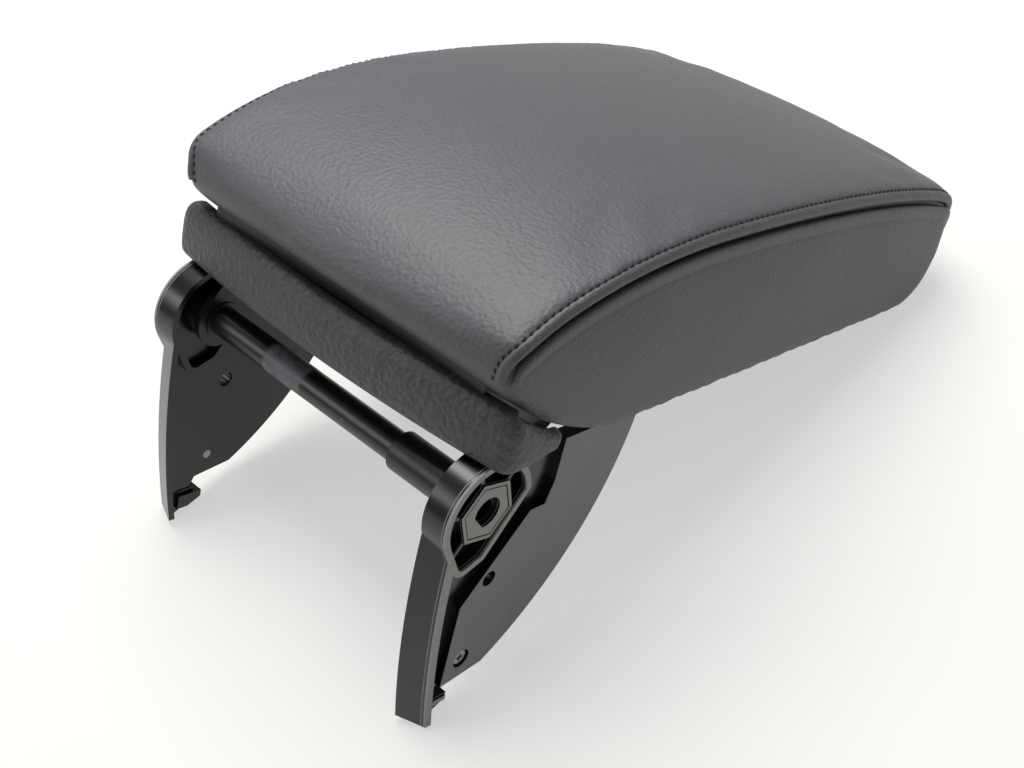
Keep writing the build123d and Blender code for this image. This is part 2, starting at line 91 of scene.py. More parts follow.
class CushionSizes(bpy.types.PropertyGroup):
    """Sizes of the padded lid"""

    rear: length("Rear", -18, "Rear end of the cushion, ahead of the hinge axis")
    front: length("Front", 314.4, "Front end of the cushion, ahead of the hinge axis")
    front_bow: length("Front bow", 4.0, "How far the front end bows out in the middle")
    rear_bow: length("Rear bow", 5, "How far the rear end bows out in the middle")
    crest: length("Crest", 100, "Place of the highest point, ahead of the hinge axis")
    top: length("Top edge", 99.4, "Height of the top edge at the crest")
    rear_fall: length("Rear fall", 40, "Fall of the top edge at the end of its rear curve")
    rear_run: length("Rear run", 120, "Length of the rear curve of the top edge")
    front_fall: length("Front fall", 34, "Fall of the top edge at the end of its front curve")
    bottom: length("Bottom", 20.4, "Height of the flat underside")
    lift: length("Lift", 40, "Rise of the underside over the hinge")
    lift_run: length("Lift run", 86, "Length over which the underside rises")
    half_rear: length("Half width, rear", 88.2, "Half width at the rear")
    half_front: length("Half width, front", 89.4, "Half width at the front")
    corner: length("Front corner", 18.2, "Radius of the front corners in plan")
    brow: length("Brow", 13, "Radius over the front end")
    nose: length("Nose", 33.2, "Radius under the front end")
    crown: length("Crown", 4.5, "Rise of the top panel between its seams")
    bulge: length("Side bulge", 3.6, "Swell of the side panels")
    voxel: length("Voxel", 4.0, "Mesh size before the padding is blown up")
    swell: length("Swell", 0.8, "Most that the padding may move the cover")
    pressure: FloatProperty(name="Pressure", description="Pressure of the padding", default=4)
    frames: IntProperty(name="Frames", description="Steps of the simulation", default=20)
    softening: IntProperty(name="Softening", description="Rounds of smoothing after the padding", default=5)


class TrimSizes(bpy.types.PropertyGroup):
    """Sizes of the rear trim bar"""

    half: length("Half width", 93, "Half width of the bar")
    rear: length("Rear, sides", -8, "Rear face at the sides, ahead of the hinge axis")
    bow: length("Bow", 6.5, "How far the rear face bows out in the middle")
    wrap: length("Wrap", 17, "How far the ends wrap forwards")
    bottom: length("Bottom", 23, "Height of the lower edge")
    top: length("Ridge", 46, "Height of the ridge")
    tip_top: length("Tip top", 35, "Height of the upper edge at the tips")
    tip_bottom: length("Tip bottom", 26.5, "Height of the lower edge at the tips")


class SeamSizes(bpy.types.PropertyGroup):
    """Sizes of the sewn seams"""

    drop: length("Drop", 7.5, "How far the seam lies below the top edge")
    groove: length("Groove", 3.2, "Depth of the groove at the seam")
    groove_width: length("Groove width", 2.8, "Half width of the groove")
    row: length("Stitch row", 7.2, "Distance from the seam to the stitch row")
    pitch: length("Pitch", 3.6, "Distance between stitches")
    thread: length("Thread", 0.75, "Thickness of the thread")


class Finishes(bpy.types.PropertyGroup):
    """Colours of the finishes"""

    vinyl: colour("Vinyl", "#505154", "Grained vinyl of the cover")
    thread: colour("Thread", "#141416", "Polyester thread of the stitches")
    trim: colour("Trim", "#3e3f42", "Grained polypropylene of the rear trim")
    leg: colour("Leg", "#0b0b0d", "Glass-filled nylon of the legs")
    blade: colour("Blade", "#707174", "Eroded matte face of the blade")
    # Pale grey of the ring, insert and flange faces: a painted highlight for the light on their edges
    edge_highlight: colour("Rim", "#8f8f8c", "Worn edges of the ring, the insert and the flange")
    tube: colour("Tube", "#121317", "Black paint of the tube")
    # Pale colour of the tube's scuffs and of its paler band, which is rubbed paint and a painted highlight for its
    # lit strip
    highlight_and_wear: colour("Worn paint", "#696a70", "Rubbed paint on the tube")
    steel: colour("Steel", "#9b9c9e", "Zinc-plated screws")
    floor: colour("Floor", "#e9e7e4", "Pale floor")


def row_frame(x, u, w):
    """Points of the armrest's own frame, in metres, turned by the tilt about the hinge axis and moved to it."""
    c, s = math.cos(TILT), math.sin(TILT)
    x, u, w = np.broadcast_arrays(x, u, w)
    return np.stack([HINGE[0] + x, HINGE[1] + u * c + w * s, HINGE[2] - u * s + w * c], axis=-1)


def own_frame(points):
    """The reverse of row_frame: x, u and w of points in the row frame."""
    c, s = math.cos(TILT), math.sin(TILT)
    y, z = points[..., 1] - HINGE[1], points[..., 2] - HINGE[2]
    return points[..., 0] - HINGE[0], y * c - z * s, y * s + z * c


def grid_faces(rows, columns, wrap_columns=False):
    """Quads of a grid of points, counted row by row, its columns closed on themselves where asked."""
    i = np.arange(rows - 1)[:, None]
    j = np.arange(columns if wrap_columns else columns - 1)[None, :]
    j2 = (j + 1) % columns
    corners = [i * columns + j, (i + 1) * columns + j, (i + 1) * columns + j2, i * columns + j2]
    return np.stack(corners, -1).reshape(-1, 4)


def mesh_object(name, points, faces):
    """A smooth-shaded mesh object at the origin from an array of points and an array of faces."""
    mesh = bpy.data.meshes.new(name)
    mesh.from_pydata(points.reshape(-1, 3).tolist(), [], faces.tolist())
    mesh.polygons.foreach_set("use_smooth", np.ones(len(mesh.polygons), bool))
    mesh.update()
    obj = bpy.data.objects.new(name, mesh)
    bpy.context.scene.collection.objects.link(obj)
    return obj


def closed_outwards(obj):
    """Merges the doubled points of a closed mesh and turns its faces outwards."""
    work = bmesh.new()
    work.from_mesh(obj.data)
    bmesh.ops.remove_doubles(work, verts=work.verts, dist=0.01 * MM)
    bmesh.ops.recalc_face_normals(work, faces=work.faces)
    work.to_mesh(obj.data)
    work.free()
    obj.data.update()


def read_points(mesh):
    """Vertex places of a mesh as an array."""
    flat = np.empty(3 * len(mesh.vertices))
    mesh.vertices.foreach_get("co", flat)
    return flat.reshape(-1, 3)


def read_normals(mesh):
    """Vertex normals of a mesh as an array."""
    flat = np.empty(3 * len(mesh.vertices))
    mesh.vertex_normals.foreach_get("vector", flat)
    return flat.reshape(-1, 3)


def evaluated_mesh(obj):
    """A new mesh with the object's modifiers applied."""
    graph = bpy.context.evaluated_depsgraph_get()
    return bpy.data.meshes.new_from_object(obj.evaluated_get(graph))


def swap_mesh(obj, mesh):
    """Gives an object a new mesh and takes its modifiers off."""
    obj.modifiers.clear()
    old = obj.data
    mesh.name = old.name
    obj.data = mesh
    bpy.data.meshes.remove(old)


def rest_on_floor(obj):
    """Presses the points of a soft piece that would pass through the floor flat on it."""
    points = read_points(obj.data)
    points[:, 2] = np.maximum(points[:, 2], FLOOR_GAP)
    obj.data.vertices.foreach_set("co", points.ravel())
    obj.data.update()


def unit(vectors):
    """Vectors divided by their lengths."""
    return vectors / np.maximum(np.linalg.norm(vectors, axis=-1, keepdims=True), 1e-9)


# Cushion


# The pan's face is left bare on the underside, which is drawn in over it, with a soft edge.
PAN_X, PAN_U, PAN_W = own_frame(read_points(frame["nodes"]["lid_pan"].data))
PAN_TAPER = 6 * MM
PAN_CORNER = 30 * MM
RECESS_DEPTH = 3 * MM
RECESS_EDGE = 4 * MM


def quarter(t):
    """Drop of a quarter ellipse: 0 at its crest and 1 at its end."""
    t = np.clip(t, 0, 1)
    return 1 - np.sqrt(1 - t * t)


def ease(t):
    """Smooth step from 0 to 1."""
    t = np.clip(t, 0, 1)
    return t * t * (3 - 2 * t)


# How far past the front end the top edge's front curve would end
CURVE_PAST_FRONT = 5 * MM


def top_edge(size, u):
    """Height of the top edge: one quarter ellipse falls from the crest to the rear, another to the front."""
    front_run = size.front - size.crest + CURVE_PAST_FRONT
    rear = size.rear_fall * quarter((size.crest - u) / size.rear_run)
    front = size.front_fall * quarter((u - size.crest) / front_run)
    return size.top - rear - front


def underside(size, u):
    """Height of the underside: level, with a parabola that lifts it over the hinge."""
    part = np.clip((size.rear + size.lift_run - u) / size.lift_run, 0, 1)
    return size.bottom + size.lift * part**2


def pan_recess(size, x, u):
    """Lift of the underside over the pan: a smooth step of the distance inside a tapered rectangle with round
    corners, times the height of a plane just over the pan's face."""
    middle, reach = (PAN_U.max() + PAN_U.min()) / 2, (PAN_U.max() - PAN_U.min()) / 2
    half = PAN_X.max() - PAN_TAPER * np.clip((u - PAN_U.min()) / (2 * reach), 0, 1)
    past_side = np.abs(x) - half + PAN_CORNER
    past_end = np.abs(u - middle) - reach + PAN_CORNER
    outside = np.hypot(np.maximum(past_side, 0), np.maximum(past_end, 0))
    inside = PAN_CORNER - outside - np.minimum(np.maximum(past_side, past_end), 0)
    return np.clip(PAN_W.min() + RECESS_DEPTH - underside(size, u), 0, None) * ease(inside / RECESS_EDGE)


def half_width(size, u):
    """Half width, narrowing evenly from the rear to the front."""
    share = (u - size.rear) / (size.front - size.rear)
    return size.half_rear + (size.half_front - size.half_rear) * share


def front_end(size, x, w):
    """How far forward the cushion reaches: bowed, with round corners in plan, a round brow above and a round
    nose below."""
    half = size.half_front
    past = np.clip((np.abs(x) - (half - size.corner)) / size.corner, 0, 1)
    corner = size.corner * quarter(past)
    nose = size.nose * quarter((size.bottom + size.nose - w) / size.nose)
    brow = size.brow * quarter((w - top_edge(size, size.front - size.brow) + size.brow) / size.brow)
    return size.front - size.front_bow * (x / half) ** 2 - np.hypot(corner, np.maximum(nose, brow))


def rear_end(size, x):
    """How far back the cushion reaches: bowed out in the middle."""
    return size.rear + size.rear_bow * (x / size.half_rear) ** 2


def cushion_grid(size, stations, turns):
    """Closed sections carried along the lid. A section runs over the flat underside, up one bulging side,
    across the crowned top and down the other side; its ends are then drawn in to the bowed and rounded ends."""
    a = np.linspace(0, 4, turns, endpoint=False)
    side = np.floor(a).astype(int)
    t = a - side
    arch = 4 * t * (1 - t)
    across = np.select([side == 0, side == 1, side == 2, side == 3], [2 * t - 1, 1, 1 - 2 * t, -1])
    high = np.select([side == 0, side == 1, side == 2, side == 3], [0, t, 1, 1 - t])
    swell = np.where(side % 2 == 1, arch, 0)
    crown = np.where(side == 2, 1 - across**2, 0)
    places = size.rear + (size.front - size.rear) * (1 - np.cos(np.linspace(0, math.pi, stations))) / 2
    u = np.repeat(places[:, None], turns, axis=1)
    middle = (size.rear + size.front) / 2
    flat = places[:, None] - middle
    for _ in range(2):
        top, low, half = top_edge(size, u), underside(size, u), half_width(size, u)
        full = (top - low) / (size.top - size.bottom)
        x = across * (half + size.bulge * full * swell)
        w = low + (top - low) * high + size.crown * full * crown
        w = w + np.where(side == 0, pan_recess(size, x, u), 0)
        ahead = (front_end(size, x, w) - middle) / (size.front - middle)
        behind = (middle - rear_end(size, x)) / (middle - size.rear)
        u = middle + flat * np.where(flat > 0, ahead, behind)
    return row_frame(x, u, w)


def capped(size, points, rings):
    """The grid with both ends closed: each end loop shrinks to its middle in a few rings, and every ring's point
    reaches as far as the bowed and rounded end does at its own place."""
    x, u, w = own_frame(points)
    shrink = (1 - np.arange(1, rings + 1) / rings)[:, None]
    caps = []
    for end in (0, -1):
        across = x[end].mean() + (x[end] - x[end].mean()) * shrink
        high = w[end].mean() + (w[end] - w[end].mean()) * shrink
        reach = front_end(size, across, high) if end else rear_end(size, across)
        caps.append(row_frame(across, reach, high))
    return np.concatenate([caps[0][::-1], points, caps[1]])


# Stiffness of the cover against stretch and against bending
COVER_STRETCH = 40
COVER_BEND = 4


def blow_up(obj, size, held):
    """Cloth under pressure: held points stay, the rest swells by the padding, and the result is applied."""
    before = read_points(obj.data)
    group = obj.vertex_groups.new(name="held")
    group.add(np.flatnonzero(held).tolist(), 1.0, "REPLACE")
    cloth = obj.modifiers.new("padding", "CLOTH")
    cloth.settings.use_pressure = True
    cloth.settings.uniform_pressure_force = size.pressure
    cloth.settings.effector_weights.gravity = 0
    cloth.settings.vertex_group_mass = group.name
    cloth.settings.tension_stiffness = COVER_STRETCH
    cloth.settings.compression_stiffness = COVER_STRETCH
    cloth.settings.bending_stiffness = COVER_BEND
    cloth.point_cache.frame_start = 1
    cloth.point_cache.frame_end = size.frames
    for step in range(1, size.frames + 1):
        bpy.context.scene.frame_set(step)
    mesh = evaluated_mesh(obj)
    move = read_points(mesh) - before
    far = np.linalg.norm(move, axis=1, keepdims=True)
    after = before + move * np.minimum(1, size.swell / np.maximum(far, 1e-9))
    mesh.vertices.foreach_set("co", after.ravel())
    mesh.update()
    swap_mesh(obj, mesh)
    obj.vertex_groups.clear()
    bpy.context.scene.frame_set(1)


def smoothed(path, passes):
    """A path whose inner points are drawn to the mean of their neighbours, again and again."""
    for _ in range(passes):
        path[1:-1] = (path[:-2] + 2 * path[1:-1] + path[2:]) / 4
    return path


def spaced(path, step):
    """A path read again at even steps along its length."""
    run = np.concatenate([[0], np.cumsum(np.linalg.norm(np.diff(path, axis=0), axis=1))])
    at = np.linspace(0, run[-1], max(2, round(run[-1] / step)))
    return np.stack([np.interp(at, run, path[:, i]) for i in range(3)], axis=1)


# A seam's line: its start ahead of the rear end, its tail down that end, its distance off the side, the degrees of
# the front corner that it turns through and its fall there, and its end over the underside
SEAM_START = 3 * MM
SEAM_TAIL = np.array([0, -0.5, 7]) * MM
SEAM_STAND_OFF = 1.5 * MM
SEAM_TURN = (4, 48)
SEAM_FALL = 14 * MM
SEAM_END = 4 * MM
# Reach within which the cover's vertices can carry a seam, and the width of the bell curve that weighs them
SEAM_REACH = 20 * MM
COVER_BELL = 2.2 * MM


def seam_path(size, seam, hand):
    """Line of a side seam: up the rear end, along the top edge a little below it, round the front corner
    for part of its turn, and down the front end."""
    u = np.linspace(size.rear + SEAM_START, size.front - size.front_bow - size.corner, 200)
    along = np.stack([half_width(size, u) + SEAM_STAND_OFF, u, top_edge(size, u) - seam.drop], axis=1)
    turn = np.radians(np.linspace(*SEAM_TURN, 24))
    x = size.half_front - size.corner * (1 - np.cos(turn))
    round_u = size.front - size.front_bow - size.corner * (1 - np.sin(turn))
    fall = SEAM_FALL * np.linspace(0, 1, 24) ** 2
    corner = np.stack([x, round_u, top_edge(size, round_u) - seam.drop - fall], axis=1)
    start = along[0] - SEAM_TAIL
    end = np.array([corner[-1, 0], corner[-1, 1], size.bottom + SEAM_END])
    path = smoothed(spaced(np.vstack([start, along, corner, end]), 2 * MM), 12)
    return row_frame(hand * path[:, 0], path[:, 1], path[:, 2])


def settled(path, points, normals, spread):
    """Path points laid on a surface: the mean of the nearby vertices and normals, weighted by a bell curve."""
    apart = np.linalg.norm(path[:, None, :] - points[None, :, :], axis=2)
    near = np.exp(-((apart**2 - apart.min(axis=1, keepdims=True) ** 2) / (2 * spread**2)))
    near /= near.sum(axis=1, keepdims=True)
    out = unit(near @ normals)
    place = near @ points
    level = np.einsum("ij,ij->i", path - place, out)
    return path - out * level[:, None], out


def across_path(path, normals, hand):
    """Unit vectors along the surface, square to the path, towards the top panel."""
    return unit(np.cross(normals, unit(np.gradient(path, axis=0)))) * hand


def nearest_distance(points, lines):
    """Distance from each point to the nearest point of some lines, worked out in parts."""
    parts = np.array_split(points, 60)
    return np.concatenate([np.linalg.norm(part[:, None] - lines[None], axis=2).min(axis=1) for part in parts])


def press_seams(obj, paths, seam):
    """Presses a groove into the cushion: each vertex sinks by a bell curve of its distance from the seams."""
    points, normals = read_points(obj.data), read_normals(obj.data)
    sink = seam.groove * np.exp(-((nearest_distance(points, np.vstack(paths)) / seam.groove_width) ** 2) / 2)
    obj.data.vertices.foreach_set("co", (points - normals * sink[:, None]).ravel())
    obj.data.update()


def cover_near(path, reach):
    """Places and normals of the cushion's vertices near a path."""
    mesh = bpy.data.objects["cushion"].data
    points, normals = read_points(mesh), read_normals(mesh)
    near = nearest_distance(points, path) < reach
    return points[near], normals[near]


def folded_strip(name, path, points, normals, hand, profile):
    """Profile carried along a seam: each column lies on the cushion at its own distance from the seam,
    and stands off it by its own height."""
    on, out = settled(path, points, normals, COVER_BELL)
    side = across_path(on, out, hand)
    columns = []
    for distance, height in np.array(profile) * MM:
        place, up = settled(on + side * distance, points, normals, COVER_BELL)
        columns.append(place + up * height)
    grid = np.stack(columns, axis=1)
    ends = [np.repeat(loop.mean(axis=0)[None, None], grid.shape[1], axis=1) for loop in (grid[0], grid[-1])]
    grid = np.concatenate([ends[0], grid, ends[1]])
    return mesh_object(name, grid, grid_faces(grid.shape[0], grid.shape[1], wrap_columns=True))


# Folded edges across the seam: distance from the seam towards the top panel, and height over the cover, in mm
TOP_BAND = (
    (7.2, -2.0),
    (6.6, -0.35),
    (6.1, 0.35),
    (5.4, 0.85),
    (4.3, 1.2),
    (3.2, 1.25),
    (2.2, 1.05),
    (1.4, 0.5),
    (0.95, -0.4),
    (0.75, -3.4),
)
SIDE_FOLD = (
    (-0.75, -3.4),
    (-0.95, -0.5),
    (-1.35, 0.25),
    (-2.1, 0.7),
    (-3.2, 0.75),
    (-4.6, 0.5),
    (-6.2, 0.1),
    (-7.6, -0.3),
    (-8.0, -2.0),
)


# A stitch: its half length as a share of the pitch, the height of its middle over the cover, the dip of its ends
# and its lean across the row
STITCH_REACH = 0.39
STITCH_LIFT = 0.30 * MM
STITCH_DIP = 0.75 * MM
STITCH_LEAN = 0.30


def stitch_grid(places, along, out, side, seam):
    """Stitches as rows of small spindles: round sections, thickest in the middle, whose ends dip into the cover,
    each turned a little across the row."""
    rings, turns = 7, 6
    t = np.linspace(-1, 1, rings)
    a = np.linspace(0, 2 * math.pi, turns, endpoint=False)
    reach = STITCH_REACH * seam.pitch * t
    thick = seam.thread / 2 * np.sqrt(np.maximum(1 - t**4, 0.02))
    lift = STITCH_LIFT - STITCH_DIP * t**2
    direction = unit(along + STITCH_LEAN * side)
    flank = unit(np.cross(out, direction))
    line = places[:, None] + direction[:, None] * reach[None, :, None] + out[:, None] * lift[None, :, None]
    ring = flank[:, None, None] * np.cos(a)[None, None, :, None] + out[:, None, None] * np.sin(a)[None, None, :, None]
    return line[:, :, None] + ring * thick[None, :, None, None]


class ARMREST_OT_cushion(bpy.types.Operator):
    """Padded cushion: sections worked out as arrays, remeshed, blown up as cloth and smoothed"""

    bl_idname = "armrest.cushion"
    bl_label = "Cushion"

    def execute(self, context):
        size, seam = context.scene.armrest_cushion, context.scene.armrest_seams
        grid = capped(size, cushion_grid(size, 90, 240), 12)
        faces = grid_faces(grid.shape[0], grid.shape[1], wrap_columns=True)
        obj = mesh_object("cushion", grid, faces[:, ::-1])
        remesh = obj.modifiers.new("voxels", "REMESH")
        remesh.mode = "VOXEL"
        remesh.voxel_size = size.voxel
        remesh.use_smooth_shade = True
        swap_mesh(obj, evaluated_mesh(obj))
        paths = [seam_path(size, seam, hand) for hand in (1, -1)]
        points = read_points(obj.data)
        x, u, w = own_frame(points)
        sewn = nearest_distance(points, np.vstack(paths)) < size.voxel
        held = sewn | (w < underside(size, u) + size.voxel)
        blow_up(obj, size, held)
        soft = obj.modifiers.new("soft", "SMOOTH")
        soft.iterations = size.softening
        smooth = obj.modifiers.new("finer", "SUBSURF")
        smooth.levels = smooth.render_levels = 1
        swap_mesh(obj, evaluated_mesh(obj))
        obj.data.polygons.foreach_set("use_smooth", np.ones(len(obj.data.polygons), bool))
        rest_on_floor(obj)
        obj.data.materials.append(vinyl())
        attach(obj, "lid")
        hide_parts("foam_pad", "cover_top", "cover_side_left", "cover_side_right")
        return {"FINISHED"}


class ARMREST_OT_seams(bpy.types.Operator):
    """Folded edges of the top and side panels along both seams, and the groove between them"""

    bl_idname = "armrest.seams"
    bl_label = "Seams"

    def execute(self, context):
        size, seam = context.scene.armrest_cushion, context.scene.armrest_seams
        for hand, name in ((1, "right"), (-1, "left")):
            path = seam_path(size, seam, hand)
            points, normals = cover_near(path, SEAM_REACH)
            for piece, profile in (("seam_band", TOP_BAND), ("seam_fold", SIDE_FOLD)):
                strip = folded_strip(f"{piece}_{name}", path, points, normals, hand, profile)
                closed_outwards(strip)
                rest_on_floor(strip)
                strip.data.materials.append(vinyl())
                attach(strip, "lid")
        paths = [seam_path(size, seam, hand) for hand in (1, -1)]
        press_seams(bpy.data.objects["cushion"], paths, seam)
        return {"FINISHED"}


class ARMREST_OT_stitches(bpy.types.Operator):
    """Rows of thread stitches on the top panel, beside both seams"""

    bl_idname = "armrest.stitches"
    bl_label = "Stitches"

    def execute(self, context):
        size, seam = context.scene.armrest_cushion, context.scene.armrest_seams
        for hand, name in ((1, "right"), (-1, "left")):
            path = seam_path(size, seam, hand)
            points, normals = cover_near(path, SEAM_REACH)
            on, out = settled(path, points, normals, COVER_BELL)
            line = on + across_path(on, out, hand) * seam.row
            places, out = settled(spaced(line, seam.pitch), points, normals, COVER_BELL)
            along = unit(np.gradient(places, axis=0))
            grid = stitch_grid(places, along, out, np.cross(out, along) * hand, seam)
            each = grid_faces(grid.shape[1], grid.shape[2], wrap_columns=True)
            step = grid.shape[1] * grid.shape[2]
            faces = each[None] + step * np.arange(len(grid))[:, None, None]
            row = mesh_object(f"stitches_{name}", grid, faces.reshape(-1, 4))
            row.data.materials.append(thread())
            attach(row, "lid")
        return {"FINISHED"}


# Rear trim


# Wall of the trim as a closed loop: depth behind the outer face, 0 for the lower edge or 1 for the ridge that the
# height counts from, and the height over it, in mm. The face is a little full and the ridge is one soft round.
TRIM_LOOP = (
    (1.6, 0, 0.0),
    (0.6, 0, 0.25),
    (0.1, 0, 1.1),
    (-0.25, 0, 3.0),
    (-0.5, 0, 6.5),
    (-0.5, 1, -9.0),
    (-0.2, 1, -6.0),
    (0.35, 1, -4.0),
    (1.2, 1, -2.3),
    (2.4, 1, -1.0),
    (3.9, 1, -0.25),
    (5.6, 1, 0.0),
    (7.4, 1, -0.3),
    (8.6, 1, -1.2),
    (8.6, 1, -2.8),
    (4.6, 1, -3.4),
    (2.9, 1, -6.0),
    (2.6, 1, -9.0),
    (2.5, 0, 6.5),
    (2.5, 0, 0.8),
)
# Depth of the wall in mm, and the share of the ridge's lip beyond it that is lost at the tips
WALL_DEPTH = 2.6
LIP_SHRINK = 0.8
# How far the tips' round ends reach, and how far ahead of the rear face the taper starts
TIP_ROUND = 3.5 * MM
TAPER_START = 2 * MM


def trim_path(trim):
    """Plan line of the trim: back along the left side, across the bowed rear and forward along the right side,
    its corners softened. The line ends short of the tips by their round ends."""
    x = np.linspace(-trim.half, trim.half, 120)
    bowed = np.stack([x, trim.rear - trim.bow * (1 - (x / trim.half) ** 2), 0 * x], axis=1)
    tips = np.array([[-trim.half, trim.wrap, 0], [trim.half, trim.wrap, 0]])
    return smoothed(spaced(np.vstack([tips[:1], bowed, tips[1:]]), 1.5 * MM), 14)


def trim_grid(trim):
    """The closed wall loop carried along the plan line, square to it; towards the tips its ridge falls and its
    lower edge lifts by a smooth step, and each tip is closed by rings that shrink on a quarter round."""
    path = trim_path(trim)
    along = unit(np.gradient(path, axis=0))
    inward = np.stack([-along[:, 1], along[:, 0]], axis=1)
    share = ease((path[:, 1] - trim.rear + TAPER_START) / (trim.wrap - trim.rear + TAPER_START))
    top = trim.top + (trim.tip_top - trim.top) * share
    low = trim.bottom + (trim.tip_bottom - trim.bottom) * share**2
    depth, upper, over = np.array(TRIM_LOOP).T
    lip = np.maximum(depth - WALL_DEPTH, 0)
    depth = depth - lip * LIP_SHRINK * share[:, None]
    plan = path[:, None, :2] + inward[:, None] * (depth * MM)[..., None]
    height = (top - low)[:, None]
    w = low[:, None] + height * upper + over * MM * height / (trim.top - trim.bottom)
    grid = np.stack([plan[..., 0], plan[..., 1], w], axis=-1)
    turn = np.linspace(0, math.pi / 2, 7)[1:]
    caps = []
    for loop, away in ((grid[0], -along[0]), (grid[-1], along[-1])):
        centre = loop.mean(axis=0)
        rings = centre + (loop - centre) * np.cos(turn)[:, None, None]
        caps.append(rings + away * TIP_ROUND * np.sin(turn)[:, None, None])
    whole = np.concatenate([caps[0][::-1], grid, caps[1]])
    return row_frame(whole[..., 0], whole[..., 1], whole[..., 2])


class ARMREST_OT_trim(bpy.types.Operator):
    """Rear trim bar with a soft ridge and wrapped ends"""

    bl_idname = "armrest.trim"
    bl_label = "Rear trim"

    def execute(self, context):
        grid = trim_grid(context.scene.armrest_trim)
        faces = grid_faces(grid.shape[0], grid.shape[1], wrap_columns=True)
        bar = mesh_object("rear_trim_bar", grid, faces)
        closed_outwards(bar)
        bar.data.materials.append(grained_plastic())
        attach(bar, "lid")
        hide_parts("rear_trim")
        return {"FINISHED"}


# Materials


def add(tree, kind, inputs=(), **settings):
    """Adds a node, sets its fields, and fills its inputs with values or links."""
    node = tree.nodes.new(kind)
    for field, value in settings.items():
        setattr(node, field, value)
    for socket, value in dict(inputs).items():
        if isinstance(value, bpy.types.NodeSocket):
            tree.links.new(value, node.inputs[socket])
        else:
            node.inputs[socket].default_value = value
    return node


def started(name):
    """A new node material with its tree, its Principled shader and its Object coordinates."""
    material = bpy.data.materials.new(name)
    material.use_nodes = True
    tree = material.node_tree
    shader = tree.nodes["Principled BSDF"]
    place = add(tree, "ShaderNodeTexCoord").outputs["Object"]
    return material, tree, shader, place


def rgba(colour_value, gain=1.0):
    """A colour property as four numbers, lighter or darker by a gain."""
    return (*[min(1.0, c * gain) for c in colour_value], 1.0)


def per_mm(size_mm):
    """Texture scale that gives features of a real size in millimetres on Object coordinates in metres."""
    return 1 / (size_mm * MM)


def ramp(tree, fac, stops):
    """Colour ramp through stops of place and grey."""
    node = add(tree, "ShaderNodeValToRGB", {"Fac": fac})
    node.color_ramp.elements[0].position, node.color_ramp.elements[1].position = stops[0][0], stops[-1][0]
    node.color_ramp.elements[0].color = rgba([stops[0][1]] * 3)
    node.color_ramp.elements[1].color = rgba([stops[-1][1]] * 3)
    return node.outputs["Color"]


def vinyl():
    """Embossed PVC: a pebble grain of fine cells with creases between them, satin, its tone and gloss a little
    uneven.
    """
    if "embossed_vinyl" in bpy.data.materials:
        return bpy.data.materials["embossed_vinyl"]
    tone = bpy.context.scene.armrest_finishes.vinyl
    material, tree, shader, place = started("embossed_vinyl")
    # The grain is drawn a little coarser than the real one, so that it shows.
    warp = add(tree, "ShaderNodeTexNoise", {"Vector": place, "Scale": per_mm(5), "Detail": 2.0})
    bent = add(
        tree, "ShaderNodeMixRGB", {"Fac": 0.0012, "Color1": place, "Color2": warp.outputs["Color"]}, blend_type="ADD"
    )
    cells = add(
        tree, "ShaderNodeTexVoronoi", {"Vector": bent.outputs[0], "Scale": per_mm(1.6)}, feature="SMOOTH_F1"
    )
    creases = add(
        tree, "ShaderNodeTexNoise", {"Vector": place, "Scale": per_mm(1.7), "Detail": 4.0, "Roughness": 0.6}
    )
    both = add(
        tree,
        "ShaderNodeMixRGB",
        {"Fac": 0.45, "Color1": cells.outputs["Distance"], "Color2": creases.outputs["Fac"]},
        blend_type="MIX",
    )
    relief = add(tree, "ShaderNodeBump", {"Height": both.outputs[0], "Strength": 0.8, "Distance": 0.6 * MM})
    cloud = add(tree, "ShaderNodeTexNoise", {"Vector": place, "Scale": per_mm(45), "Detail": 3.0})
    shade = add(
        tree,
        "ShaderNodeMixRGB",
        {"Fac": cloud.outputs["Fac"], "Color1": rgba(tone, 0.90), "Color2": rgba(tone, 1.10)},
    )
    # Painted shade: the colour is darkened a little where the grain's relief is low, in its hollows
    dark = add(
        tree,
        "ShaderNodeMixRGB",
        {
            "Fac": 0.35,
            "Color1": shade.outputs[0],
            "Color2": ramp(tree, both.outputs[0], ((0.2, 0.72), (0.6, 1.0))),
        },
        blend_type="MULTIPLY",
    )
    tree.links.new(dark.outputs[0], shader.inputs["Base Color"])
    gloss = add(tree, "ShaderNodeMapRange", {"Value": cloud.outputs["Fac"], "To Min": 0.46, "To Max": 0.60})
    tree.links.new(gloss.outputs[0], shader.inputs["Roughness"])
    tree.links.new(relief.outputs[0], shader.inputs["Normal"])
    shader.inputs["IOR"].default_value = 1.50
    return material


def thread():
    """Twisted polyester thread: dark, dull, with a fine twist."""
    if "polyester_thread" in bpy.data.materials:
        return bpy.data.materials["polyester_thread"]
    tone = bpy.context.scene.armrest_finishes.thread
    material, tree, shader, place = started("polyester_thread")
    twist = add(tree, "ShaderNodeTexNoise", {"Vector": place, "Scale": per_mm(0.5), "Detail": 2.0})
    shade = add(
        tree,
        "ShaderNodeMixRGB",
        {"Fac": twist.outputs["Fac"], "Color1": rgba(tone, 0.7), "Color2": rgba(tone, 1.6)},
    )
    relief = add(tree, "ShaderNodeBump", {"Height": twist.outputs["Fac"], "Strength": 0.4, "Distance": 0.2 * MM})
    tree.links.new(shade.outputs[0], shader.inputs["Base Color"])
    tree.links.new(relief.outputs[0], shader.inputs["Normal"])
    shader.inputs["Roughness"].default_value = 0.75
    return material


